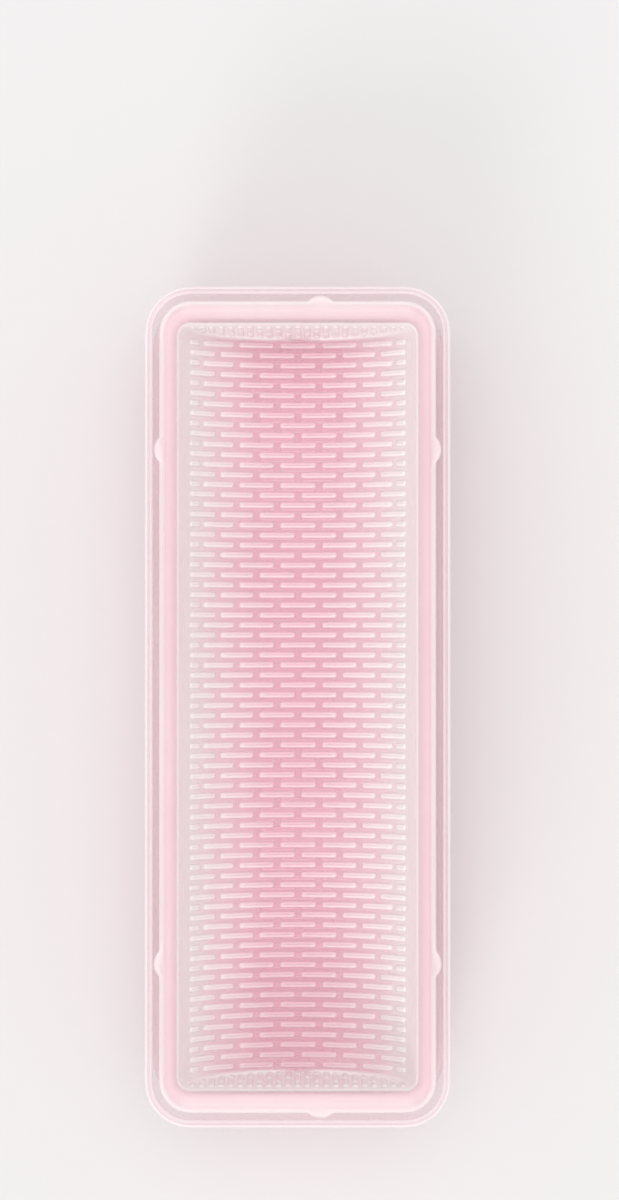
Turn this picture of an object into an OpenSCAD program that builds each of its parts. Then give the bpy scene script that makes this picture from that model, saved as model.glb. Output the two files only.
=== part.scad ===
// Mould press for thick sushi rolls. Two half moulds, each a channel with a shoulder and a skirt, stand one on
// the other inside a bottomless frame. The base tray stands on the table, and the press stands on its shoulder.
// Both have their hollow side up, as the set is stored. For use the press is turned over and pushed down, so
// that the two channels close round the roll, and the frame keeps them in line.
// Millimetres. X is across the roll, Y along it and +Z up. The origin is the middle of the face on the table.

/* [Frame] */
// Length of the frame, along the roll
frame_len = 220; // [190:1:260]
// Width of the frame, across the roll
frame_wid = 80; // [74:1:110]
// Thickness of the frame's wall
frame_wall = 2; // [1.2:0.1:3.5]
// Outer radius of the frame's upright corners
frame_corner_r = 12; // [8:0.5:20]
// Height of the frame's rim above the press
rim_above_press = 1; // [0.5:0.5:8]
// Gap between the frame's wall and the half moulds
side_gap = 1.7; // [1:0.1:3]

/* [Half moulds] */
// Thickness of the channel's shell and of the shoulder
shell = 1.8; // [1.2:0.1:2.4]
// Thickness of the skirt round each half mould
skirt_wall = 1.5; // [1:0.1:2.6]
// Width of the shoulder along the two long sides
side_shoulder = 5.2; // [3.8:0.1:8]
// Width of the shoulder at the two ends
end_shoulder = 6.2; // [4:0.1:12]
// Height of the channel's underside above the skirt's foot
foot_gap = 1.2; // [0.6:0.1:6]

/* [Channel] */
// Depth of the channel below the shoulder
channel_depth = 24.5; // [22:0.5:29]
// Radius of the channel's two sides, below its mouth
channel_side_r = 21; // [12:0.5:21.5]
// Radius of the channel's upright corners
channel_corner_r = 3; // [1:0.5:8]
// Slope of the channel's end walls, in degrees from upright
end_draft = 4; // [1:1:10]

/* [Locating nubs] */
// Length of a nub along its wall
nub_len = 6.5; // [4:0.5:12]
// Height of a nub below the shoulder
nub_h = 9; // [4:0.5:20]
// Clearance between a nub and the frame
nub_clearance = 0.3; // [0.2:0.1:0.8]
// Distance of the side nubs from the ends of the half mould
side_nub_inset = 39; // [20:1:70]
// Distance of the end nubs from the middle of the end
end_nub_offset = 6; // [0:0.5:18]

/* [Hidden] */
// How far a cutting shape runs past the face that it cuts
past = 1;

// The half moulds fill the frame apart from the gap, and their corners share its corners' centres.
tray_len = frame_len - 2 * (frame_wall + side_gap);
tray_wid = frame_wid - 2 * (frame_wall + side_gap);
tray_corner_r = frame_corner_r - frame_wall - side_gap;
tray_h = channel_depth + shell + foot_gap;
frame_h = 2 * tray_h + rim_above_press;

// The channel's section is a three-centred arch: two side arcs that start upright at the mouth, and one wide
// floor arc that meets both without a crease. join_angle is how far each side arc turns down to the floor arc.
mouth_len = tray_len - 2 * end_shoulder;
mouth_half = tray_wid / 2 - side_shoulder;
side_r = min(channel_side_r, 0.9 * channel_depth, 0.9 * mouth_half);
side_reach = mouth_half - side_r;
floor_r = (side_reach * side_reach / (channel_depth - side_r) + side_r + channel_depth) / 2;
floor_rise = floor_r - channel_depth;
join_angle = atan2(floor_rise, side_reach);

// A nub is the outer slice of an upright round pin, and stands proud by the gap less the clearance.
nub_proud = side_gap - nub_clearance;
nub_r = (nub_len * nub_len / 4 + nub_proud * nub_proud) / (2 * nub_proud);

module rounded_slab(across, along, r, h) {
    linear_extrude(height = h) {
        square([across - 2 * r, along], center = true);
        square([across, along - 2 * r], center = true);
        for (side = [-1, 1], end = [-1, 1])
            translate([side * (across / 2 - r), end * (along / 2 - r)])
                circle(r = r, $fn = 96);
    }
}

// The part of the floor arc's disc between the two lines that run from its centre through the side arcs' centres.
module floor_sector(grow) {
    sector_half = 2 * floor_r / tan(join_angle);
    intersection() {
        translate([0, floor_rise])
            circle(r = floor_r + grow, $fn = 384);
        polygon([
            [0, floor_rise],
            [-sector_half, floor_rise - 2 * floor_r],
            [sector_half, floor_rise - 2 * floor_r]
        ]);
    }
}

// The arch, with its mouth on y = 0 and its floor below. grow moves it outwards all round, and a lip above the
// mouth carries it up to y = top.
module arch(grow, top) {
    intersection() {
        union() {
            floor_sector(grow);
            for (side = [-1, 1])
                translate([side * side_reach, 0])
                    circle(r = side_r + grow, $fn = 192);
        }
        translate([-tray_wid, -2 * channel_depth])
            square([2 * tray_wid, 2 * channel_depth]);
    }
    if (top > 0)
        translate([-mouth_half - grow, 0])
            square([2 * (mouth_half + grow), top]);
}

// The space of the channel, with its mouth on z = 0: the arch along Y, cut by sloping ends and rounded corners.
module channel_space(grow, top) {
    bottom = channel_depth + grow;
    half_len_top = mouth_len / 2 + grow + top * tan(end_draft);
    half_len_bottom = mouth_len / 2 + grow - bottom * tan(end_draft);
    intersection() {
        rotate([90, 0, 0])
            linear_extrude(height = tray_len, center = true)
                arch(grow, top);
        rotate([90, 0, 90])
            linear_extrude(height = tray_wid, center = true)
                polygon([
                    [half_len_top, top],
                    [-half_len_top, top],
                    [-half_len_bottom, -bottom],
                    [half_len_bottom, -bottom]
                ]);
        translate([0, 0, -bottom - past])
            rounded_slab(
                2 * (mouth_half + grow),
                2 * half_len_top,
                channel_corner_r + grow,
                bottom + top + 2 * past
            );
    }
}

// One nub on a wall that faces +X, with the wall's face on x = 0 and the nub's top on z = 0.
module nub() {
    intersection() {
        translate([nub_proud - nub_r, 0, -nub_h])
            cylinder(r = nub_r, h = nub_h, $fn = 64);
        translate([-skirt_wall / 2, -nub_len, -nub_h])
            cube([skirt_wall / 2 + nub_proud + past, 2 * nub_len, nub_h]);
    }
}

// Two nubs on each long side and one at each end, which centre the half mould in the frame.
module nubs() {
    for (side = [0, 180], end = [-1, 1])
        rotate([0, 0, side])
            translate([tray_wid / 2, end * (tray_len / 2 - side_nub_inset), 0])
                nub();
    for (end = [-1, 1])
        translate([end_nub_offset, end * tray_len / 2, 0])
            rotate([0, 0, end * 90])
                nub();
}

// The box of shoulder and skirt, open underneath.
module skirted_shoulder() {
    difference() {
        rounded_slab(tray_wid, tray_len, tray_corner_r, tray_h);
        translate([0, 0, -past])
            rounded_slab(
                tray_wid - 2 * skirt_wall,
                tray_len - 2 * skirt_wall,
                tray_corner_r - skirt_wall,
                tray_h - shell + past
            );
    }
}

// One half mould, standing on z = 0 with its hollow side up.
module half_mould() {
    difference() {
        union() {
            skirted_shoulder();
            translate([0, 0, tray_h]) {
                channel_space(shell, 0);
                nubs();
            }
        }
        translate([0, 0, tray_h])
            channel_space(0, past);
    }
}

module base_tray() {
    color([0.94, 0.89, 0.9])
        half_mould();
}

module press() {
    color([0.94, 0.89, 0.9])
        translate([0, 0, tray_h])
            half_mould();
}

module frame() {
    color([0.93, 0.87, 0.88])
        difference() {
            rounded_slab(frame_wid, frame_len, frame_corner_r, frame_h);
            translate([0, 0, -past])
                rounded_slab(
                    frame_wid - 2 * frame_wall,
                    frame_len - 2 * frame_wall,
                    frame_corner_r - frame_wall,
                    frame_h + 2 * past
                );
        }
}

base_tray();
press();
frame();
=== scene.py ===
"""A mould press for thick sushi rolls, in milky plastic.

Two half moulds stand one on the other inside a bottomless frame. Each is a trough with raised bricks on
its floor and its ends, a flat shoulder round its mouth, and a skirt with locating nubs. Everything is in
metres, with the table at z = 0, X across the roll and Y along it.
"""

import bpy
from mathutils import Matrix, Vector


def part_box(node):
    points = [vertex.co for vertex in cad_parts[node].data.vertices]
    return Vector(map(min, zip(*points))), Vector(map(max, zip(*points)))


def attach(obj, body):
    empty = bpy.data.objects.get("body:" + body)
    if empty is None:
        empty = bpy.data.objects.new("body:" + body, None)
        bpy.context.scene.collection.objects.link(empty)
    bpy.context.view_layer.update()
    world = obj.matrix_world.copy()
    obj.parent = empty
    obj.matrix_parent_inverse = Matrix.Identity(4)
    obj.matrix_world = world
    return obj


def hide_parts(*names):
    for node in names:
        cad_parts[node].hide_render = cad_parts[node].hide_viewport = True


bl_info = {
    "name": "Roll Mould Press",
    "version": (1, 0, 0),
    "blender": (4, 5, 0),
    "location": "3D View > Sidebar > Roll Mould",
    "description": "Makes a roll mould press: its frame, its half moulds with their bricks, and a studio",
    "category": "Object",
}

from math import acos, atan2, cos, exp, pi, radians, sin, sqrt, tan
from typing import NamedTuple

import bmesh
import bpy
from bpy.props import FloatProperty, FloatVectorProperty, IntProperty, PointerProperty
from bpy.types import Operator, Panel, PropertyGroup
from mathutils import Vector

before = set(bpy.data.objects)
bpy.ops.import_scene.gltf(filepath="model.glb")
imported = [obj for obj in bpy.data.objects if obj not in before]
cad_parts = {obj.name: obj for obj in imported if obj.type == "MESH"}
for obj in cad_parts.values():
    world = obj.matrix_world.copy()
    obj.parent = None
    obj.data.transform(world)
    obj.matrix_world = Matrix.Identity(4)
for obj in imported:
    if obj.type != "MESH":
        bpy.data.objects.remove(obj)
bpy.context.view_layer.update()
FRAME_LOW, FRAME_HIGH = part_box("frame")
TRAY_LOW, TRAY_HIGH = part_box("base_tray")
PRESS_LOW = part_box("press")[0]
HAZE = "haze"
HALF_MOULDS = {"base_tray": TRAY_LOW.z, "press": PRESS_LOW.z}  # the height at which each one stands

# How deep the plastic looks at each place, which sets how milky it is. The unit is the shell's thickness on
# the trough, the lip, the shoulder and the bead round it, and the wall's own on the skirt and the frame.
STEEP_WALL, LEAN_GAIN = 10.0, 2.5  # the most there is on a wall, and what a full lean adds
LIP, LIP_FALL = 1.5, 3  # the lip's, and the power by which the trough's gives way to it
SHOULDER, SHOULDER_EDGE, END_SHOULDER = 1.7, 2.1, 2.4
BEAD = 3.2
CORNER = 2.0
BELOW_BEAD, NUB_WALL = 3.0, 1.4
PLAIN_WALL, NEAR_EDGE, FOOT = 0.4, 1.8, 3.6
# The rims' rounded edges are given much more depth than their flat top: whiter lines along both edges that
# are painted highlights, over the plastic's own milkiness.
OUTER_RIM_AND_HIGHLIGHT, RIM_TOP, INNER_RIM_AND_HIGHLIGHT = 2.6, 0.7, 2.0
THINNEST = 0.00175  # depth of plastic at which the thin colour is pure
MILKIEST = 0.58  # haze at which the milky colour is pure

# Where the rings of the lofts lie.
FLOOR_STEPS, SIDE_STEPS = 12, 14  # rings on the trough's floor and on each side above it
ROUND_STEPS, FILLET_STEPS, CORNER_STEPS = 5, 4, 8  # pieces of a quarter turn
SHOULDER_STOPS = (1.6, 0.1)  # in from the skirt's inner face, in inner fillets
EDGE_INSET = 0.0002  # how far outside that face the shoulder's milkier edge lies
NUB_MIDDLE = 0.6  # how far down a nub its middle ring lies
NUB_FADE = ((0.5, 1.0), (0.1, 0.8), (0.0, 0.0))  # edge roundings above a nub's foot, and the nub left there
BELOW_EDGE, ABOVE_FOOT = 2, 3  # how far the edges' milkiness reaches on the skirt, in their roundings
CLEAR_OUTSIDE, CLEAR_INSIDE = 0.35, 0.5  # height of the skirt's clearest rings, as a share of its own
RIM_NEAR, RIM_FAR = 2, 6  # from a rim to where the frame's milkiness eases off and ends, in rim roundings
RIM_STOPS = (0.42, 0.64)  # rings across the rim's flat top, as shares of the wall

# Where the rings get their points. Those round a nub are given in millimetres from its middle.
NUB_POINTS = (-4.6, -4.0, -3.6, -3.2, -2.8, -2.2, -1.5, -0.8, 0.0, 0.8, 1.5, 2.2, 2.8, 3.2, 3.6, 4.0, 4.6)
LONG_CORNER, LONG_STEP = 0.0083, 0.008  # what a corner takes off a long side, and its points' spacing
SHORT_HALF, SHORT_STEP = 0.028, 0.007  # half the straight part of a short side, and its points' spacing
ROOM = 0.3  # least room between a nub's points and the others, in their spacing
NUB_REACH, NUB_EASE = 0.93, 0.00012  # how far a nub's arc goes, in radii, and how softly it leaves its wall
END_BLEND = 0.001  # stretch over which the trough's sides take on the milkiness of its ends
MERGE = 1e-6  # points closer than this are one
SHARP = radians(40)

# A brick starts as a cube that reaches from -1 to 1, with this many points on its edges. Along it they lie
# at 0.2, 0.6 and 1 to each side, and across it at 0, 0.5 and 1. The places on the second line part them.
BRICK_POINTS = (("Vertices X", 6), ("Vertices Y", 5), ("Vertices Z", 2))
OUTERMOST, OUTER_PAIR, OFF_MIDDLE = 0.9, 0.5, 0.1
TIP_SLOPE, INNER_COLUMN, TIP_TAPER = 0.7, 0.6, 0.42  # shares of half the width, half the length, the width
FOOT_HAZE, TOP_HAZE_AND_HIGHLIGHT, LOWER_EDGE_HIGHLIGHT = 0.27, 0.19, 0.12  # at the foot, and what the top and its lower edge add: partly the brick's own plastic, partly painted highlight
MIDDLE_CLEAR_OF_HIGHLIGHT = 0.17  # how much less there is in the middle of the top, which leaves a painted highlight round its border
MIDDLE_WIDTH, MIDDLE_LENGTH, MIDDLE_FALL = 0.2, 0.75, 6.0  # shares of the width, half the length, a power
END_KEEPS = 0.25  # how much of its own haze a brick keeps on the trough's ends
PAST_SIDE, HALVED = 0.2, 0.4  # in pitches, how far past a row's end a point goes, and before it is halved
END_TIERS = 3  # upright bricks one above the other
FEET_SUNK = 0.0008  # how far the lowest of them run into the trough's floor
SHORTEST = 0.0016  # an upright brick shorter than this goes
NUDGE = 0.0001  # keeps a rounded share from falling short of a whole number

# The plastic's patterns: their number to the metre, their finer detail, and how they are drawn out.
EVEN = (1.0, 1.0, 1.0)
CLOUDS = (26.0, 3.0, EVEN)
FLOW_MARKS = (60.0, 2.0, (1.0, 0.12, 0.6))
GRAIN = (1400.0, 2.0, EVEN)
SCUFFS = (220.0, 4.0, (1.0, 0.2, 1.0))
WAVES = (45.0, 2.0, EVEN)
FLOW_SHARE = 0.7  # how strong the flow marks are beside the clouds
GRAIN_SATIN, SCUFF_SATIN = 0.10, 0.16  # how much each changes the roughness
SCUFF_DEPTH = 0.6  # how deep the scuffs are beside the grain
FINE_BUMP, BROAD_BUMP = (0.5, 0.00004), (0.6, 0.0005)  # strength and depth
PLASTIC_IOR, PLASTIC_SPECULAR = 1.49, 0.5

# The studio.
FLOOR_HALF = 3.0
FLOOR_DROP = 0.0002  # a hair below the feet, so that no two faces share a plane
FLOOR_ROUGHNESS, FLOOR_SPECULAR = 0.9, 0.1
SKY_COLOR = (1.0, 0.985, 0.985, 1.0)
OVERHEAD_AT, SIDE_AT, LIT_POINT = (0.02, 0.15, 1.30), (-0.30, -0.85, 0.60), (0.0, 0.0, 0.03)
SENSOR = 36.0  # width in millimetres
CLIP_START, CLIP_END = 0.01, 20.0
CLEAR_BOUNCES, SOFT_BOUNCES, ALL_BOUNCES = 48, 16, 24


# ----------------------------------------------------------------------------------------------------------
# Settings
# ----------------------------------------------------------------------------------------------------------


def length(name, description, millimetres):
    """A length property, given in millimetres and held in metres."""
    return FloatProperty(
        name=name,
        description=description,
        default=millimetres / 1000,
        min=0.0,
        precision=5,
        unit="LENGTH",
        subtype="DISTANCE",
    )


def share(name, description, value):
    """A property between 0 and 1."""
    return FloatProperty(name=name, description=description, default=value, min=0.0, max=1.0)


def color(name, description, value):
    """A colour property."""
    return FloatVectorProperty(
        name=name, description=description, default=value, min=0.0, max=1.0, subtype="COLOR"
    )


def angle(name, description, degrees, most):
    """An angle property, given in degrees and held in radians."""
    return FloatProperty(
        name=name, description=description, default=radians(degrees), min=0.0, max=most, subtype="ANGLE"
    )


class MouldSizes(PropertyGroup):
    """The frame and the half moulds."""

    frame_wall: length("Frame wall", "Thickness of the frame's wall", 2.0)
    frame_corner: length("Frame corner", "Outer radius of the frame's upright corners", 12.0)
    rim_round: length("Rim rounding", "Rounding of the frame's two rims", 0.6)
    side_gap: length("Side gap", "Gap between the frame's wall and the half moulds", 1.7)
    shell: length("Shell", "Thickness of the trough's shell and of the shoulder", 1.8)
    skirt_wall: length("Skirt wall", "Thickness of the skirt", 1.5)
    side_shoulder: length("Side shoulder", "Width of the shoulder along the two long sides", 5.2)
    end_shoulder: length("End shoulder", "Width of the shoulder at the two ends", 6.2)
    trough_depth: length("Trough depth", "Depth of the trough below the shoulder", 24.5)
    trough_side: length("Trough side", "Radius of the trough's two sides, below its mouth", 21.0)
    trough_corner: length("Trough corner", "Radius of the trough's upright corners", 3.0)
    floor_fillet: length("Floor fillet", "Fillet between the trough's floor and its ends", 0.8)
    lip_round: length("Lip rounding", "Rounding of the trough's lip", 0.9)
    edge_round: length("Edge rounding", "Rounding of the shoulder's outer edge", 0.6)
    foot_round: length("Foot rounding", "Rounding of the skirt's foot", 0.4)
    inner_fillet: length("Inner fillet", "Fillets on the underside of the shoulder", 0.6)
    end_draft: angle("End draft", "Slope of the trough's ends from upright", 4.0, radians(12.0))
    nub_length: length("Nub length", "Length of a locating nub along its wall", 6.5)
    nub_height: length("Nub height", "Height of a locating nub below the shoulder", 9.0)
    nub_proud: length("Nub proud", "How far a locating nub stands out of its wall", 1.4)
    side_nub_inset: length("Side nub inset", "Distance of the side nubs from the half mould's ends", 39.0)
    end_nub_offset: length("End nub offset", "Distance of the end nubs from the middle of the end", 6.0)


class BrickSizes(PropertyGroup):
    """The raised bricks in the troughs."""

    brick_length: length("Brick length", "Length of a raised brick", 10.0)
    brick_width: length("Brick width", "Width of a raised brick", 1.70)
    brick_rise: length("Brick rise", "Height of a brick above the trough's surface", 0.35)
    brick_bevel: length("Brick bevel", "Width of a brick's sloping border", 0.42)
    brick_root: length("Brick root", "Depth of a brick's foot below the trough's surface", 0.12)
    pitch_across: length("Pitch across", "Distance between brick middles, across the roll", 11.35)
    pitch_along: length("Pitch along", "Distance between rows of bricks, along the roll", 2.675)
    end_pitch: length("End pitch", "Distance between the upright bricks on the trough's ends", 2.52)
    lip_margin: length("Lip margin", "Bare strip below the lip at the trough's ends", 4.0)
    side_haze: share("Side haze", "How much milkier a brick gets up the trough's side", 0.58)
    end_haze: share("End haze", "How milky the bricks on the trough's ends are", 0.76)
    rows: IntProperty(name="Rows", description="Rows of bricks along the trough", default=73, min=3)
    columns: IntProperty(name="Columns", description="Bricks in a full row", default=6, min=2)
    end_columns: IntProperty(
        name="End columns", description="Upright bricks side by side at each end", default=23, min=3
    )


class PlasticLook(PropertyGroup):
    """The milky plastic."""

    thin_color: color("Thin colour", "Colour of the plastic where it is thin", (0.99, 0.62, 0.725))
    milky_color: color("Milky colour", "Colour of the plastic where it is thick", (0.965, 0.925, 0.925))
    haze_length: length("Haze length", "Depth of plastic that stops about two thirds of the light", 6.5)
    least_cover: share("Least cover", "How much the thinnest plastic hides what lies behind it", 0.0)
    roughness: share("Roughness", "Middle of the satin finish", 0.34)
    mottle: share("Mottle", "How cloudy the plastic is", 0.10)


class StudioLook(PropertyGroup):
    """The floor, the lamps and the camera."""

    floor_color: color("Floor colour", "Colour of the plain floor", (0.77, 0.765, 0.765))
    backdrop_level: share("Backdrop level", "How pale the backdrop is to the camera", 0.90)
    sky_level: FloatProperty(
        name="Sky level", description="Strength of the even light all round", default=0.80, min=0.0
    )
    overhead_strength: FloatProperty(
        name="Overhead lamp", description="Strength of the soft light from overhead", default=0.85, min=0.0
    )
    overhead_spread: angle("Overhead spread", "How wide the overhead light is, as it is seen", 40.0, pi)
    side_strength: FloatProperty(
        name="Side lamp", description="Strength of the low light that shows relief", default=0.60, min=0.0
    )
    side_spread: angle("Side spread", "How wide the low light is, as it is seen", 24.0, pi)
    camera_height: length("Camera height", "Height of the camera above the frame's rim", 990.0)
    camera_back: length("Camera place", "Distance of the camera from the middle, along the roll", 20.0)
    aim_across: length("Aim across", "Where the camera looks, across the roll", 3.1)
    aim_along: length("Aim along", "Where the camera looks, along the roll", 27.9)
    focal_length: FloatProperty(
        name="Focal length", description="In millimetres, on a 36 mm sensor", default=113.6, min=10.0
    )


# ----------------------------------------------------------------------------------------------------------
# Rings and lofts
# ----------------------------------------------------------------------------------------------------------


class Ring(NamedTuple):
    """A level rounded rectangle of a lofted shell."""

    half_across: float
    half_along: float
    corner: float
    z: float
    plastic: float  # depth of plastic that the eye looks through here
    nub: float = 0.0  # how much of the locating nubs this ring carries
    end_plastic: float = 0.0  # the same depth at the two ends, where it is more


def quarter(steps):
    """The angles of a quarter turn, both ends included."""
    return [pi / 2 * k / steps for k in range(steps + 1)]


class HalfMould:
    """The section of a half mould that stands on z = 0, worked out once from its sizes."""

    def __init__(self, sizes):
        self.s = sizes
        gap = sizes.frame_wall + sizes.side_gap
        self.half_across = FRAME_HIGH.x - gap
        self.half_along = FRAME_HIGH.y - gap
        self.corner = sizes.frame_corner - gap
        self.height = TRAY_HIGH.z - TRAY_LOW.z
        self.mouth_across = self.half_across - sizes.side_shoulder
        self.mouth_along = self.half_along - sizes.end_shoulder
        self.reach = self.mouth_across - sizes.trough_side
        rise = sizes.trough_depth - sizes.trough_side
        self.floor_r = (self.reach**2 / rise + sizes.trough_side + sizes.trough_depth) / 2
        self.floor_rise = self.floor_r - sizes.trough_depth
        self.join = pi / 2 - atan2(self.floor_rise, self.reach)  # turn of the floor arc, from straight down

    def arch(self, turn, grow):
        """Half width and depth of the trough where its surface leans by this turn."""
        if turn <= self.join:
            r = self.floor_r + grow
            return r * sin(turn), r * cos(turn) - self.floor_rise
        r = self.s.trough_side + grow
        return self.reach + r * sin(turn), r * cos(turn)

    def shell_seen(self, lean):
        """Depth of plastic that the eye looks through where the shell leans by this angle from level."""
        through = 1 / max(cos(lean), 1 / STEEP_WALL)
        return self.s.shell * min(through + LEAN_GAIN * sin(lean) ** 2, STEEP_WALL)

    def trough_ring(self, turn, grow):
        """The trough's ring where its sides lean by this turn, on the inside or grown to the outside."""
        across, depth = self.arch(turn, grow)
        fillet = self.s.floor_fillet + grow
        sink = max(0.0, depth - (self.s.trough_depth + grow - fillet))
        pull = fillet - sqrt(max(0.0, fillet**2 - sink**2))
        along = self.mouth_along + grow - depth * tan(self.s.end_draft) - pull
        corner = min(self.s.trough_corner + grow, across)
        z, plastic = self.height - depth, self.shell_seen(turn)
        end_plastic = self.shell_seen(acos(min(sink / fillet, 1.0)))
        return Ring(across, along, corner, z, plastic, end_plastic=end_plastic)

    def skirt_ring(self, inset, z, plastic, nub=0.0, end_plastic=0.0):
        """A ring that lies this far inside the half mould's outer face."""
        corner = self.corner - inset
        return Ring(self.half_across - inset, self.half_along - inset, corner, z, plastic, nub, end_plastic)

    def rings(self):
        """All rings, from the middle of the trough's floor over shoulder and skirt to its underside."""
        return self.trough_rings() + self.shoulder_rings() + self.skirt_rings() + self.underside_rings()

    def trough_rings(self):
        """The trough's inside, from its floor to its lip."""
        lip_turn = acos(self.s.lip_round / self.s.trough_side)
        turns = [self.join * k / FLOOR_STEPS for k in range(FLOOR_STEPS)]
        turns += [self.join + (lip_turn - self.join) * k / SIDE_STEPS for k in range(SIDE_STEPS + 1)]
        return [self.trough_ring(turn, 0.0) for turn in turns]

    def shoulder_rings(self):
        """The rounded lip and the shoulder, up to the skirt's rounded edge."""
        s, top, wall = self.s, self.height, self.s.skirt_wall
        edge = self.trough_rings()[-1]
        made = []
        for a in quarter(ROUND_STEPS)[1:]:
            out = s.lip_round * (1 - cos(a))
            steep = cos(a) ** LIP_FALL
            made.append(
                Ring(
                    edge.half_across + out,
                    edge.half_along + out,
                    edge.corner + out,
                    top - s.lip_round * (1 - sin(a)),
                    edge.plastic * steep + LIP * s.shell * (1 - steep),
                )
            )
        flat = [(wall + stop * s.inner_fillet, SHOULDER) for stop in SHOULDER_STOPS]
        for inset, depth in (*flat, (wall - EDGE_INSET, SHOULDER_EDGE)):
            made.append(self.skirt_ring(inset, top, depth * s.shell, end_plastic=END_SHOULDER * s.shell))
        return made

    def skirt_rings(self):
        """The skirt with its nubs, down its outside, round its foot and up its inside."""
        s, top, wall = self.s, self.height, self.s.skirt_wall
        r, f, nub_foot = s.edge_round, s.foot_round, self.height - s.nub_height
        ring, edge_turns, foot_turns = self.skirt_ring, quarter(ROUND_STEPS), quarter(FILLET_STEPS)
        made = [ring(r * (1 - sin(a)), top - r * (1 - cos(a)), BEAD * s.shell, 1.0) for a in edge_turns]
        made.append(ring(0.0, top - BELOW_EDGE * r, BELOW_BEAD * wall, 1.0))
        made.append(ring(0.0, top - NUB_MIDDLE * s.nub_height, NUB_WALL * wall, 1.0))
        made += [ring(0.0, nub_foot + up * r, NUB_WALL * wall, nub) for up, nub in NUB_FADE]
        made.append(ring(0.0, CLEAR_OUTSIDE * top, PLAIN_WALL * wall))
        made.append(ring(0.0, ABOVE_FOOT * f, NEAR_EDGE * wall))
        made += [ring(f * (1 - cos(a)), f * (1 - sin(a)), FOOT * wall) for a in foot_turns]
        made += [ring(wall - f * (1 - sin(a)), f * (1 - cos(a)), FOOT * wall) for a in foot_turns]
        made.append(ring(wall, ABOVE_FOOT * f, NEAR_EDGE * wall))
        made.append(ring(wall, CLEAR_INSIDE * top, PLAIN_WALL * wall))
        return made

    def underside_rings(self):
        """The two fillets under the shoulder and the trough's outside, to the middle of its underside."""
        s, wall, n = self.s, self.s.skirt_wall, self.s.inner_fillet
        under, corner, turns = self.height - s.shell, CORNER * s.shell, quarter(FILLET_STEPS)
        made = [self.skirt_ring(wall + n * (1 - cos(a)), under - n * (1 - sin(a)), corner) for a in turns]
        start_turn = acos((s.shell + n) / (s.trough_side + s.shell))
        start = self.trough_ring(start_turn, s.shell)
        for a in turns[:-1]:
            out = n * (1 - sin(a))
            made.append(
                Ring(
                    start.half_across + out,
                    start.half_along + out,
                    start.corner + out,
                    start.z + n * cos(a),
                    corner,
                )
            )
        turns = [start_turn + (self.join - start_turn) * k / SIDE_STEPS for k in range(SIDE_STEPS + 1)]
        turns += [self.join * (1 - k / FLOOR_STEPS) for k in range(1, FLOOR_STEPS + 1)]
        return made + [self.trough_ring(turn, s.shell) for turn in turns]


def frame_rings(sizes):
    """The frame's rings, up its outside, over the upper rim, down its inside and round the lower rim."""
    low, high, wall, r = FRAME_LOW.z, FRAME_HIGH.z, sizes.frame_wall, sizes.rim_round
    near, far, turns = RIM_NEAR * r, RIM_FAR * r, quarter(ROUND_STEPS)

    def ring(inset, z, depth):
        return Ring(FRAME_HIGH.x - inset, FRAME_HIGH.y - inset, sizes.frame_corner - inset, z, depth * wall)

    def wall_rings(inset, heights):
        depths = (NEAR_EDGE, PLAIN_WALL, PLAIN_WALL, NEAR_EDGE)
        return [ring(inset, z, depth) for z, depth in zip(heights, depths)]

    # Both rims' rounded edges are milkier than the flat top between them, as painted highlights along the
    # edges.
    made = [ring(r * (1 - sin(a)), low + r * (1 - cos(a)), OUTER_RIM_AND_HIGHLIGHT) for a in turns]
    made += wall_rings(0.0, (low + near, low + far, high - far, high - near))
    made += [ring(r * (1 - cos(a)), high - r * (1 - sin(a)), OUTER_RIM_AND_HIGHLIGHT) for a in turns]
    made += [ring(stop * wall, high, RIM_TOP) for stop in RIM_STOPS]
    made += [ring(wall - r * (1 - sin(a)), high - r * (1 - cos(a)), INNER_RIM_AND_HIGHLIGHT) for a in turns]
    made += wall_rings(wall, (high - near, high - far, low + far, low + near))
    made += [ring(wall - r * (1 - cos(a)), low + r * (1 - sin(a)), INNER_RIM_AND_HIGHLIGHT) for a in turns]
    return made


def stops(half, spacing, marks):
    """Fractions of a straight side where its rings get points, close together round each mark."""
    near = [mark + point / 1000 for mark in marks for point in NUB_POINTS]
    count = round(2 * half / spacing)
    even = [-half + 2 * half * k / count for k in range(count + 1)]
    clear = NUB_POINTS[-1] / 1000 + ROOM * spacing
    far = [place for place in even if all(abs(place - mark) > clear for mark in marks)]
    return [place / half for place in sorted(near + far)]


def nub_push(sizes, away):
    """How far a nub pushes its wall out, at this distance from the nub's middle."""
    proud = sizes.nub_proud
    r = (sizes.nub_length**2 / 4 + proud**2) / (2 * proud)
    rise = sqrt(r**2 - min(abs(away), NUB_REACH * r) ** 2) - (r - proud)
    return (rise + sqrt(rise**2 + NUB_EASE**2)) / 2


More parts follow.
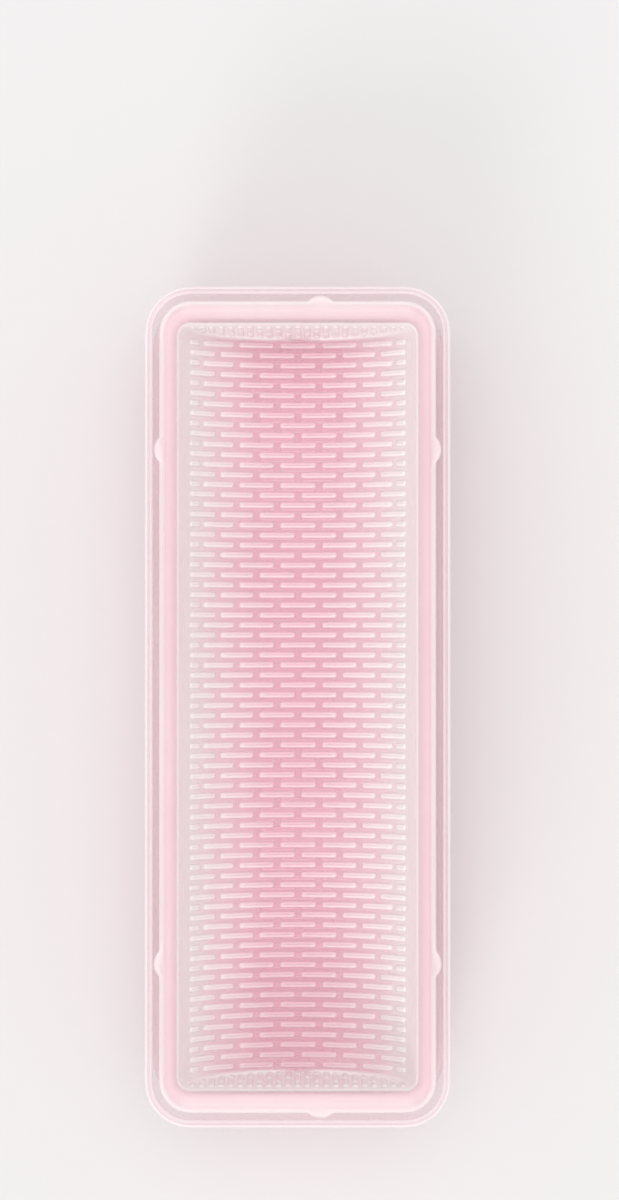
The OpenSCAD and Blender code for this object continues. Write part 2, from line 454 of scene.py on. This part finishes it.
def outline(ring, along, across, sizes, half_along):
    """The ring's points, anticlockwise as seen from above, from the start of the side that faces +X."""
    straight_x, straight_y = ring.half_across - ring.corner, ring.half_along - ring.corner
    side_marks = [side * (half_along - sizes.side_nub_inset) for side in (-1, 1)]

    def side_push(y):
        return ring.nub * sum(nub_push(sizes, y - mark) for mark in side_marks) if ring.nub else 0.0

    def end_push(x):
        return ring.nub * nub_push(sizes, x - sizes.end_nub_offset) if ring.nub else 0.0

    def bend(sign_x, sign_y, first):
        for k in range(1, CORNER_STEPS):
            a = first + pi / 2 * k / CORNER_STEPS
            yield sign_x * straight_x + ring.corner * cos(a), sign_y * straight_y + ring.corner * sin(a)

    points = [(ring.half_across + side_push(t * straight_y), t * straight_y) for t in along]
    points += bend(1, 1, 0.0)
    points += [(t * straight_x, ring.half_along + end_push(t * straight_x)) for t in reversed(across)]
    points += bend(-1, 1, pi / 2)
    points += [(-ring.half_across - side_push(t * straight_y), t * straight_y) for t in reversed(along)]
    points += bend(-1, -1, pi)
    points += [(t * straight_x, -ring.half_along - end_push(t * straight_x)) for t in across]
    points += bend(1, -1, 3 * pi / 2)
    return points


def loft(name, rings, sizes, look, half_along, lift=0.0, endless=False):
    """A closed mesh through the rings, with the plastic's haze on its points."""
    side_nubs = [side * (half_along - sizes.side_nub_inset) for side in (-1, 1)]
    along = stops(half_along - LONG_CORNER, LONG_STEP, side_nubs)
    across = stops(SHORT_HALF, SHORT_STEP, [sizes.end_nub_offset])
    bm = bmesh.new()
    haze = bm.verts.layers.float.new(HAZE)
    rows = []
    for ring in rings:
        points = outline(ring, along, across, sizes, half_along)
        row = [bm.verts.new((x, y, ring.z + lift)) for x, y in points]
        for vert in row:
            end = max(0.0, abs(vert.co.y) - ring.half_along + END_BLEND) / END_BLEND
            plastic = ring.plastic + max(0.0, ring.end_plastic - ring.plastic) * min(end, 1.0)
            vert[haze] = 1 - exp(-plastic / look.haze_length)
        rows.append(row)
    for lower, upper in zip(rows, rows[1:] + (rows[:1] if endless else [])):
        for k in range(len(lower)):
            after = (k + 1) % len(lower)
            bm.faces.new((lower[k], lower[after], upper[after], upper[k]))
    bmesh.ops.remove_doubles(bm, verts=bm.verts, dist=MERGE)
    bmesh.ops.recalc_face_normals(bm, faces=bm.faces)
    if bm.calc_volume(signed=True) < 0:
        bmesh.ops.reverse_faces(bm, faces=bm.faces)
    if any(len(edge.link_faces) != 2 for edge in bm.edges):
        raise RuntimeError(f"{name} isn't closed")
    for face in bm.faces:
        face.smooth = True
    mesh = bpy.data.meshes.new(name)
    bm.to_mesh(mesh)
    bm.free()
    mesh.set_sharp_from_angle(angle=SHARP)
    return mesh


def place(name, mesh, material, body, node=None):
    """Put a finished mesh in the scene as a piece that rides on a body."""
    piece = bpy.data.objects.new(name, mesh)
    bpy.context.scene.collection.objects.link(piece)
    if material.name not in mesh.materials:
        mesh.materials.clear()
        mesh.materials.append(material)
    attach(piece, body)
    if node:
        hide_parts(node)
    return piece


# ----------------------------------------------------------------------------------------------------------
# Node trees
# ----------------------------------------------------------------------------------------------------------


class Flow:
    """A number that runs through a node tree, so that a tree's sums read as plain arithmetic."""

    def __init__(self, tree, socket):
        self.tree, self.socket = tree, socket

    def do(self, operation, *others):
        node = self.tree.nodes.new("ShaderNodeMath")
        node.operation = operation
        for place_in, term in zip(node.inputs, (self, *others)):
            if isinstance(term, Flow):
                self.tree.links.new(term.socket, place_in)
            else:
                place_in.default_value = term
        return Flow(self.tree, node.outputs[0])

    def __add__(self, other):
        return self.do("ADD", other)

    def __sub__(self, other):
        return self.do("SUBTRACT", other)

    def __mul__(self, other):
        return self.do("MULTIPLY", other)

    def __truediv__(self, other):
        return self.do("DIVIDE", other)

    __radd__, __rmul__ = __add__, __mul__

    def __rsub__(self, other):
        return (self * -1.0) + other

    def over(self, other):
        return self.do("GREATER_THAN", other)

    def clamped(self):
        flow = self.do("ADD", 0.0)
        flow.socket.node.use_clamp = True
        return flow

    def least(self, other):
        return self.do("MINIMUM", other)

    def most(self, other):
        return self.do("MAXIMUM", other)

    def sine(self):
        return self.do("SINE")

    def cosine(self):
        return self.do("COSINE")

    def root(self):
        return self.do("SQRT")

    def size(self):
        return self.do("ABSOLUTE")

    def sign(self):
        return self.do("SIGN")


class BrickTree:
    """The geometry node tree that lays raised bricks on a trough's floor and ends."""

    LENGTHS = (
        "Brick Length",
        "Brick Width",
        "Brick Rise",
        "Brick Bevel",
        "Brick Root",
        "Pitch Across",
        "Pitch Along",
        "End Pitch",
        "Lip Margin",
        "Floor Radius",
        "Floor Rise",
        "Side Radius",
        "Side Reach",
        "Mouth Height",
        "Mouth Along",
    )
    INPUTS = {
        "NodeSocketFloat": (*LENGTHS, "Join Turn", "End Draft", "Side Haze", "End Haze"),
        "NodeSocketInt": ("Rows", "Columns", "End Columns"),
        "NodeSocketMaterial": ("Material",),
    }

    def __init__(self):
        self.tree = bpy.data.node_groups.new("Bricks in a trough", "GeometryNodeTree")
        self.tree.is_modifier = True
        face = self.tree.interface
        face.new_socket(name="Geometry", in_out="OUTPUT", socket_type="NodeSocketGeometry")
        face.new_socket(name="Geometry", in_out="INPUT", socket_type="NodeSocketGeometry")
        self.sockets = {
            name: face.new_socket(name=name, in_out="INPUT", socket_type=kind).identifier
            for kind, names in self.INPUTS.items()
            for name in names
        }
        self.given = self.node("NodeGroupInput")
        self.build()

    def node(self, kind, **fixed):
        made = self.tree.nodes.new(kind)
        for name, value in fixed.items():
            setattr(made, name, value)
        return made

    def link(self, source, target):
        self.tree.links.new(source, target)

    def number(self, name):
        return Flow(self.tree, self.given.outputs[name])

    def combine(self, x, y, z):
        made = self.node("ShaderNodeCombineXYZ")
        for socket, term in zip(made.inputs, (x, y, z)):
            if isinstance(term, Flow):
                self.link(term.socket, socket)
            else:
                socket.default_value = term
        return made.outputs[0]

    def position(self):
        split = self.node("ShaderNodeSeparateXYZ")
        self.link(self.node("GeometryNodeInputPosition").outputs[0], split.inputs[0])
        return [Flow(self.tree, socket) for socket in split.outputs]

    def moved(self, geometry, place_at):
        step = self.node("GeometryNodeSetPosition")
        self.link(geometry, step.inputs["Geometry"])
        self.link(place_at, step.inputs["Position"])
        return step.outputs["Geometry"]

    def without(self, geometry, unwanted):
        step = self.node("GeometryNodeDeleteGeometry", domain="POINT")
        self.link(geometry, step.inputs["Geometry"])
        self.link(unwanted.socket, step.inputs["Selection"])
        return step.outputs["Geometry"]

    def kept(self, geometry, name, value):
        step = self.node("GeometryNodeStoreNamedAttribute", data_type="FLOAT", domain="POINT")
        step.inputs["Name"].default_value = name
        self.link(geometry, step.inputs["Geometry"])
        self.link(value.socket, step.inputs["Value"])
        return step.outputs["Geometry"]

    def attribute(self, name):
        reader = self.node("GeometryNodeInputNamedAttribute", data_type="FLOAT")
        reader.inputs["Name"].default_value = name
        return Flow(self.tree, reader.outputs["Attribute"])

    def realized(self, points, brick, stretch, turn):
        step = self.node("GeometryNodeInstanceOnPoints")
        self.link(points, step.inputs["Points"])
        self.link(brick, step.inputs["Instance"])
        step.inputs["Rotation"].default_value = (0.0, 0.0, turn)
        self.link(self.combine(stretch, 1.0, 1.0), step.inputs["Scale"])
        real = self.node("GeometryNodeRealizeInstances")
        self.link(step.outputs["Instances"], real.inputs["Geometry"])
        return real.outputs["Geometry"]

    def points(self, across, along):
        """A grid's points, with each one's column and row."""
        grid = self.node("GeometryNodeMeshGrid")
        for name, count in (("Vertices X", across), ("Vertices Y", along)):
            if isinstance(count, Flow):
                self.link(count.socket, grid.inputs[name])
            else:
                grid.inputs[name].default_value = count
        index = Flow(self.tree, self.node("GeometryNodeInputIndex").outputs[0])
        column = (index / along + NUDGE).do("FLOOR")
        return grid.outputs["Mesh"], column, index - column * along

    def brick(self):
        """One raised brick about the origin, flat on z = 0, with a sloping border and rounded ends."""
        cube = self.node("GeometryNodeMeshCube")
        cube.inputs["Size"].default_value = (2.0, 2.0, 1.0)
        for name, count in BRICK_POINTS:
            cube.inputs[name].default_value = count
        u, v, w = self.position()
        half, width = self.number("Brick Length") * 0.5, self.number("Brick Width") * 0.5
        rise, bevel, root = (self.number(name) for name in ("Brick Rise", "Brick Bevel", "Brick Root"))
        far, tip, rim = u.size(), u.size().over(OUTERMOST), v.size().over(OUTERMOST)
        outer, inner = far.over(OUTER_PAIR) * (1.0 - tip), 1.0 - far.over(OUTER_PAIR)
        x = u.sign() * (tip * half + outer * (half - width * TIP_SLOPE) + inner * half * INNER_COLUMN)
        row = rim * width + (1.0 - rim) * v.size().over(OFF_MIDDLE) * (width - bevel)
        y = v.sign() * row * (1.0 - tip * TIP_TAPER)
        raised = (1.0 - tip) * (1.0 - rim)
        z = w.over(0.0) * (raised * rise) - (1.0 - w.over(0.0)) * root
        shaped = self.moved(cube.outputs["Mesh"], self.combine(x, y, z))
        u, v, w = self.position()
        middle = (1.0 - (v.size() / (self.number("Brick Width") * MIDDLE_WIDTH)).clamped()) * (
            1.0 - (u.size() / (half * MIDDLE_LENGTH)).do("POWER", MIDDLE_FALL).clamped()
        )
        top, lower = (w / rise).clamped(), (v * -1.0).over(0.0)
        # The haze on a brick's top is partly its own thicker plastic and partly painted highlight: a whiter
        # border round a clearer middle, whitest on the lower edge, which faces the low side lamp.
        haze = FOOT_HAZE + top * (TOP_HAZE_AND_HIGHLIGHT + lower * LOWER_EDGE_HIGHLIGHT) - middle * top * MIDDLE_CLEAR_OF_HIGHLIGHT
        return self.kept(shaped, HAZE, haze)

    def arcs(self):
        """The radii of the trough's floor and sides, and the turn at which they meet."""
        return [self.number(name) for name in ("Floor Radius", "Side Radius", "Join Turn")]

    def on_floor(self, geometry):
        """Bend a flat layer of bricks onto the arch: x follows the arc and z stands off it."""
        s, along, off = self.position()
        floor_r, side_r, join = self.arcs()
        far = s.size()
        turned = floor_r * join
        up = far.over(turned)
        turn = far / floor_r * (1.0 - up) + up * (join + (far - turned) / side_r)
        radius = floor_r * (1.0 - up) + side_r * up - off
        x = s.sign() * (up * self.number("Side Reach") + radius * turn.sine())
        z = self.number("Mouth Height") + (1.0 - up) * self.number("Floor Rise") - radius * turn.cosine()
        milky = self.attribute(HAZE) + turn.sine() * turn.sine() * self.number("Side Haze")
        return self.moved(self.kept(geometry, HAZE, milky.clamped()), self.combine(x, along, z))

    def on_end(self, geometry):
        """Stand a flat layer of bricks up against the end at +Y: y is the depth below the lip."""
        across, depth, off = self.position()
        draft = self.number("End Draft")
        y = self.number("Mouth Along") - depth * draft.do("TANGENT") - off * draft.cosine()
        z = self.number("Mouth Height") - depth + off * draft.sine()
        milky = self.attribute(HAZE) * END_KEEPS + self.number("End Haze")
        return self.moved(self.kept(geometry, HAZE, milky.clamped()), self.combine(across * -1.0, y, z))

    def floor_layer(self, brick):
        """The bricks on the trough's floor and sides."""
        columns, rows = self.number("Columns"), self.number("Rows")
        grid, column, row = self.points(columns + 1.0, rows)
        shifted = 1.0 - row.do("MODULO", 2.0)  # rows that have half bricks at the trough's sides
        pitch, full = self.number("Pitch Across"), self.number("Brick Length")
        outer = shifted * (1.0 - column.least(columns - column).over(0.5))
        s = (column - columns * 0.5 + (1.0 - shifted) * 0.5) * pitch
        s = s - s.sign() * outer * pitch * 0.25
        along = (row - (rows - 1.0) * 0.5) * self.number("Pitch Along")
        laid = self.moved(grid, self.combine(s, along, 0.0))
        # From here on the points are told apart by where they lie, because their numbers change as some go.
        away = self.position()[0].size() / pitch
        kept = self.without(laid, away.over(columns * 0.5 + PAST_SIDE))
        half_brick = away.over(columns * 0.5 - HALVED) * pitch * 0.5 / full
        return self.on_floor(self.realized(kept, brick, 1.0 - half_brick, 0.0))

    def end_layer(self, brick):
        """The upright bricks on the trough's two ends."""
        columns = self.number("End Columns")
        grid, column, tier = self.points(columns, END_TIERS)
        pitch, full = self.number("Pitch Across"), self.number("Brick Length")
        shifted = column.do("MODULO", 2.0)
        across = (column - (columns - 1.0) * 0.5) * self.number("End Pitch")
        far = across.size()
        floor_r, side_r, join = self.arcs()
        up = far.over(floor_r * join.sine())
        reach = far - self.number("Side Reach")
        floor_depth = (floor_r * floor_r - far * far).root() - self.number("Floor Rise")
        side_depth = (side_r * side_r - reach * reach).root()
        limit = floor_depth * (1.0 - up) + side_depth * up + FEET_SUNK
        top = self.number("Lip Margin") + (tier - shifted * 0.5) * pitch
        start = top.most(self.number("Lip Margin"))
        end = limit.least(top + full)
        middle, extent = (start + end) * 0.5, end - start
        counted = self.kept(grid, "extent", extent)
        laid = self.moved(counted, self.combine(across, middle, 0.0))
        extent = self.attribute("extent")
        kept = self.without(laid, 1.0 - extent.over(SHORTEST))
        standing = self.on_end(self.realized(kept, brick, extent / full, pi / 2))
        other = self.node("GeometryNodeTransform")
        other.inputs["Rotation"].default_value = (0.0, 0.0, pi)
        self.link(standing, other.inputs["Geometry"])
        return standing, other.outputs["Geometry"]

    def build(self):
        brick = self.brick()
        join = self.node("GeometryNodeJoinGeometry")
        for layer in (self.floor_layer(brick), *self.end_layer(brick)):
            self.link(layer, join.inputs[0])
        smooth = self.node("GeometryNodeSetShadeSmooth")
        self.link(join.outputs[0], smooth.inputs["Geometry"])
        real = self.node("GeometryNodeRealizeInstances")
        self.link(smooth.outputs[0], real.inputs["Geometry"])
        paint = self.node("GeometryNodeSetMaterial")
        self.link(real.outputs["Geometry"], paint.inputs["Geometry"])
        self.link(self.given.outputs["Material"], paint.inputs["Material"])
        self.link(paint.outputs["Geometry"], self.node("NodeGroupOutput").inputs[0])


def brick_mesh(name, tree, values):
    """The plain mesh that the brick tree makes from these values."""
    carrier = bpy.data.objects.new(f"{name}_carrier", bpy.data.meshes.new(f"{name}_carrier"))
    bpy.context.scene.collection.objects.link(carrier)
    layer = carrier.modifiers.new("Bricks", "NODES")
    layer.node_group = tree.tree
    for label, value in values.items():
        layer[tree.sockets[label]] = value
    shown = carrier.evaluated_get(bpy.context.evaluated_depsgraph_get())
    mesh = bpy.data.meshes.new_from_object(shown)
    mesh.name = name
    for spare in ("extent", "UVMap"):
        if spare in mesh.attributes:
            mesh.attributes.remove(mesh.attributes[spare])
    carrier.modifiers.remove(layer)
    bpy.data.objects.remove(carrier)
    if not mesh.polygons:
        raise RuntimeError(f"the brick tree made nothing for {name}")
    return mesh


# ----------------------------------------------------------------------------------------------------------
# Materials
# ----------------------------------------------------------------------------------------------------------


def noise(tree, coordinates, pattern):
    """A pattern of noise on the object's own coordinates, in metres."""
    scale, detail, stretch = pattern
    mapping = tree.nodes.new("ShaderNodeMapping")
    mapping.inputs["Scale"].default_value = stretch
    tree.links.new(coordinates, mapping.inputs["Vector"])
    texture = tree.nodes.new("ShaderNodeTexNoise")
    texture.inputs["Scale"].default_value = scale
    texture.inputs["Detail"].default_value = detail
    tree.links.new(mapping.outputs[0], texture.inputs["Vector"])
    return Flow(tree, texture.outputs["Fac"])


def bump(tree, height, strength_and_depth, under=None):
    """A bump of this height, on top of the one that it gets."""
    node = tree.nodes.new("ShaderNodeBump")
    node.inputs["Strength"].default_value, node.inputs["Distance"].default_value = strength_and_depth
    tree.links.new(height.socket, node.inputs["Height"])
    if under is not None:
        tree.links.new(under, node.inputs["Normal"])
    return node.outputs["Normal"]


def milky_plastic(look):
    """Satin polypropylene: pinker and clearer where it is thin, whiter and milkier where it is thick."""
    name = "milky_plastic_satin"
    if name in bpy.data.materials:
        return bpy.data.materials[name]
    material = bpy.data.materials.new(name)
    material.use_nodes = True
    tree = material.node_tree
    shader = tree.nodes["Principled BSDF"]
    coordinates = tree.nodes.new("ShaderNodeTexCoord").outputs["Object"]
    attribute = tree.nodes.new("ShaderNodeAttribute")
    attribute.attribute_name = HAZE
    haze = Flow(tree, attribute.outputs["Fac"])

    clouds, flow_marks = noise(tree, coordinates, CLOUDS) - 0.5, noise(tree, coordinates, FLOW_MARKS) - 0.5
    milky = (haze + clouds * look.mottle + flow_marks * (FLOW_SHARE * look.mottle)).clamped()

    mix = tree.nodes.new("ShaderNodeMix")
    mix.data_type = "RGBA"
    mix.inputs["A"].default_value = (*look.thin_color, 1.0)
    mix.inputs["B"].default_value = (*look.milky_color, 1.0)
    thin = 1 - exp(-THINNEST / look.haze_length)
    tree.links.new(((milky - thin) / (MILKIEST - thin)).clamped().socket, mix.inputs["Factor"])
    tree.links.new(mix.outputs["Result"], shader.inputs["Base Color"])
    tree.links.new((milky * (1.0 - look.least_cover) + look.least_cover).socket, shader.inputs["Alpha"])

    grain, scuffs = noise(tree, coordinates, GRAIN), noise(tree, coordinates, SCUFFS)
    satin = look.roughness + (grain - 0.5) * GRAIN_SATIN + (scuffs - 0.5) * SCUFF_SATIN
    tree.links.new(satin.clamped().socket, shader.inputs["Roughness"])

    fine = bump(tree, grain + scuffs * SCUFF_DEPTH, FINE_BUMP)
    broad = bump(tree, noise(tree, coordinates, WAVES), BROAD_BUMP, fine)
    tree.links.new(broad, shader.inputs["Normal"])

    shader.inputs["IOR"].default_value = PLASTIC_IOR
    shader.inputs["Specular IOR Level"].default_value = PLASTIC_SPECULAR
    return material


def studio_floor(look):
    """A plain pale floor that keeps the object's shadow."""
    material = bpy.data.materials.new("studio_floor")
    material.use_nodes = True
    tree = material.node_tree
    shader = tree.nodes["Principled BSDF"]
    shader.inputs["Base Color"].default_value = (*look.floor_color, 1.0)
    shader.inputs["Roughness"].default_value = FLOOR_ROUGHNESS
    shader.inputs["Specular IOR Level"].default_value = FLOOR_SPECULAR
    return material


# ----------------------------------------------------------------------------------------------------------
# Operators
# ----------------------------------------------------------------------------------------------------------


class ROLLMOULD_OT_frame_sleeve(Operator):
    """Make the bottomless frame with its rounded rims"""

    bl_idname = "rollmould.frame_sleeve"
    bl_label = "Frame"

    def execute(self, context):
        sizes, look = context.scene.mould_sizes, context.scene.plastic_look
        half_along = FRAME_HIGH.y - sizes.frame_wall - sizes.side_gap
        mesh = loft("frame_sleeve", frame_rings(sizes), sizes, look, half_along, endless=True)
        place("frame_sleeve", mesh, milky_plastic(look), "frame", "frame")
        return {"FINISHED"}


class ROLLMOULD_OT_half_moulds(Operator):
    """Make the base tray and the press, each a trough with a shoulder, a skirt and locating nubs"""

    bl_idname = "rollmould.half_moulds"
    bl_label = "Half moulds"

    def execute(self, context):
        sizes, look = context.scene.mould_sizes, context.scene.plastic_look
        half = HalfMould(sizes)
        for body, lift in HALF_MOULDS.items():
            mesh = loft(f"{body}_shell", half.rings(), sizes, look, half.half_along, lift)
            place(f"{body}_shell", mesh, milky_plastic(look), body, body)
        return {"FINISHED"}


class ROLLMOULD_OT_trough_bricks(Operator):
    """Lay the raised bricks on the floor and the ends of both troughs"""

    bl_idname = "rollmould.trough_bricks"
    bl_label = "Bricks in the troughs"

    def execute(self, context):
        scene = context.scene
        sizes, bricks, plastic = scene.mould_sizes, scene.brick_sizes, milky_plastic(scene.plastic_look)
        half, tree = HalfMould(sizes), BrickTree()
        values = {
            name.replace("_", " ").title(): getattr(bricks, name) for name in BrickSizes.__annotations__
        }
        values |= {
            "Floor Radius": half.floor_r,
            "Floor Rise": half.floor_rise,
            "Side Radius": sizes.trough_side,
            "Side Reach": half.reach,
            "Join Turn": half.join,
            "Mouth Along": half.mouth_along,
            "End Draft": sizes.end_draft,
            "Material": plastic,
        }
        for body, lift in HALF_MOULDS.items():
            mesh = brick_mesh(f"{body}_bricks", tree, {**values, "Mouth Height": lift + half.height})
            place(f"{body}_bricks", mesh, plastic, body)
        return {"FINISHED"}


class ROLLMOULD_OT_studio(Operator):
    """Make the plain floor, the soft lamps and the camera"""

    bl_idname = "rollmould.studio"
    bl_label = "Studio"

    def lamp(self, scene, name, strength, spread, where):
        """A soft, even light that falls from this place towards the object."""
        light = bpy.data.lights.new(name, "SUN")
        light.energy, light.angle = strength, spread
        lamp = bpy.data.objects.new(name, light)
        lamp.location = where
        lamp.rotation_euler = (Vector(LIT_POINT) - Vector(where)).to_track_quat("-Z", "Y").to_euler()
        scene.collection.objects.link(lamp)

    def execute(self, context):
        scene, look = context.scene, context.scene.studio_look
        bm = bmesh.new()
        bmesh.ops.create_grid(bm, x_segments=2, y_segments=2, size=FLOOR_HALF)
        mesh = bpy.data.meshes.new("studio_floor")
        bm.to_mesh(mesh)
        bm.free()
        mesh.materials.append(studio_floor(look))
        floor = bpy.data.objects.new("studio_floor", mesh)
        floor.location = (0.0, 0.0, FRAME_LOW.z - FLOOR_DROP)
        scene.collection.objects.link(floor)

        world = bpy.data.worlds.new("studio_sky")
        world.use_nodes = True
        tree = world.node_tree
        background = tree.nodes["Background"]
        background.inputs["Color"].default_value = SKY_COLOR
        path = tree.nodes.new("ShaderNodeLightPath")
        seen = Flow(tree, path.outputs["Is Camera Ray"])
        for kind in ("Is Glossy Ray", "Is Transmission Ray"):
            seen = seen.most(Flow(tree, path.outputs[kind]))
        level = seen * (look.backdrop_level - look.sky_level) + look.sky_level
        tree.links.new(level.socket, background.inputs["Strength"])
        scene.world = world

        self.lamp(scene, "overhead_lamp", look.overhead_strength, look.overhead_spread, OVERHEAD_AT)
        self.lamp(scene, "side_lamp", look.side_strength, look.side_spread, SIDE_AT)

        height = FRAME_HIGH.z + look.camera_height
        where = Vector((look.aim_across, look.camera_back, height))
        aim = Vector((look.aim_across, look.aim_along, FRAME_HIGH.z))
        sight = bpy.data.cameras.new("photo_camera")
        sight.sensor_width = SENSOR
        sight.lens = look.focal_length
        sight.clip_start, sight.clip_end = CLIP_START, CLIP_END
        camera = bpy.data.objects.new("photo_camera", sight)
        camera.location = where
        camera.rotation_euler = (aim - where).to_track_quat("-Z", "Y").to_euler()
        scene.collection.objects.link(camera)
        scene.camera = camera
        scene.view_settings.view_transform = "Standard"
        scene.cycles.transparent_max_bounces = CLEAR_BOUNCES
        scene.cycles.diffuse_bounces = SOFT_BOUNCES
        scene.cycles.max_bounces = ALL_BOUNCES
        return {"FINISHED"}


class ROLLMOULD_PT_sidebar(Panel):
    """Every step of the roll mould press, in the order in which it is made"""

    bl_idname = "ROLLMOULD_PT_sidebar"
    bl_label = "Roll Mould"
    bl_space_type = "VIEW_3D"
    bl_region_type = "UI"
    bl_category = "Roll Mould"

    def draw(self, context):
        for operator in STEPS:
            self.layout.operator(operator.bl_idname)
        for group in SETTINGS:
            box = self.layout.box()
            settings = getattr(context.scene, group)
            for name in settings.__annotations__:
                box.prop(settings, name)


STEPS = (
    ROLLMOULD_OT_frame_sleeve,
    ROLLMOULD_OT_half_moulds,
    ROLLMOULD_OT_trough_bricks,
    ROLLMOULD_OT_studio,
)
SETTINGS = {
    "mould_sizes": MouldSizes,
    "brick_sizes": BrickSizes,
    "plastic_look": PlasticLook,
    "studio_look": StudioLook,
}


def register():
    for group in SETTINGS.values():
        bpy.utils.register_class(group)
    for name, group in SETTINGS.items():
        setattr(bpy.types.Scene, name, PointerProperty(type=group))
    for operator in STEPS:
        bpy.utils.register_class(operator)
    bpy.utils.register_class(ROLLMOULD_PT_sidebar)


def unregister():
    bpy.utils.unregister_class(ROLLMOULD_PT_sidebar)
    for operator in reversed(STEPS):
        bpy.utils.unregister_class(operator)
    for name, group in SETTINGS.items():
        delattr(bpy.types.Scene, name)
        bpy.utils.unregister_class(group)


def main():
    """Make the whole object."""
    register()
    bpy.ops.rollmould.frame_sleeve()
    bpy.ops.rollmould.half_moulds()
    bpy.ops.rollmould.trough_bricks()
    bpy.ops.rollmould.studio()


if __name__ == "__main__":
    main()
